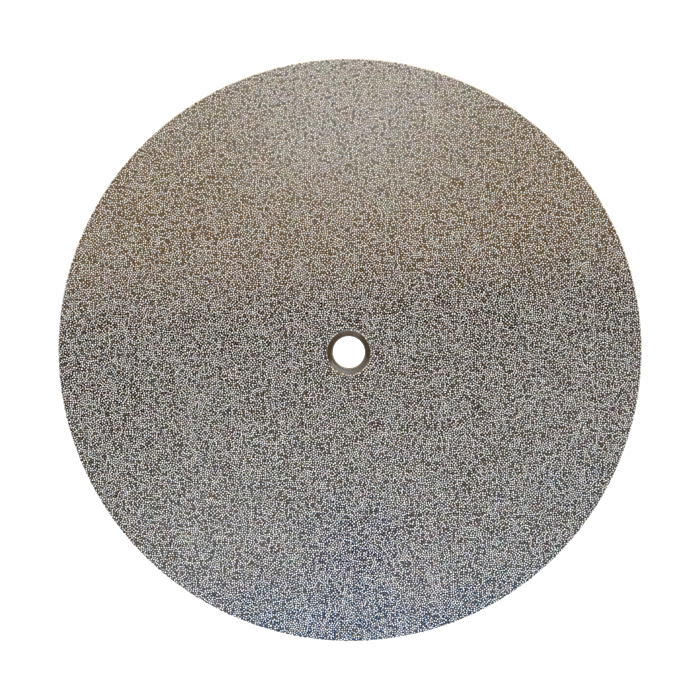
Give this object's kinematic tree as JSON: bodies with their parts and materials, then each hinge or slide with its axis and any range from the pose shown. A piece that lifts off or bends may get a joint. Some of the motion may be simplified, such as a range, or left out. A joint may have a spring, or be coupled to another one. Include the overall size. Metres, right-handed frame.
{
  "type": "diamond grinding wheel",
  "caption": "Flat round lapidary grinding disc with a plain arbor bore, a bare land round it and one face plated all over with coarse diamond grit.",
  "frame": {"origin": "on the bore axis at the back face, which the disc lies on", "axes": "+Z along the bore axis, out of the working face; the disc is round, so X and Y are any two directions in its plane"},
  "size_m": [0.2032, 0.2032, 0.0038],
  "materials": {
    "steel": "ground, clear of plating",
    "nickel_flash": "bright thin nickel plate",
    "nickel": "semi-bright electroplated nickel, softly uneven",
    "diamond": "coarse blocky synthetic diamond, sharp bright facets"
  },
  "bodies": {
    "root": {"steel_core": "steel", "nickel_strike": "nickel_flash", "nickel_tack": "nickel", "nickel_bond": "nickel", "diamond_grit": "diamond"}
  },
  "joints": []
}
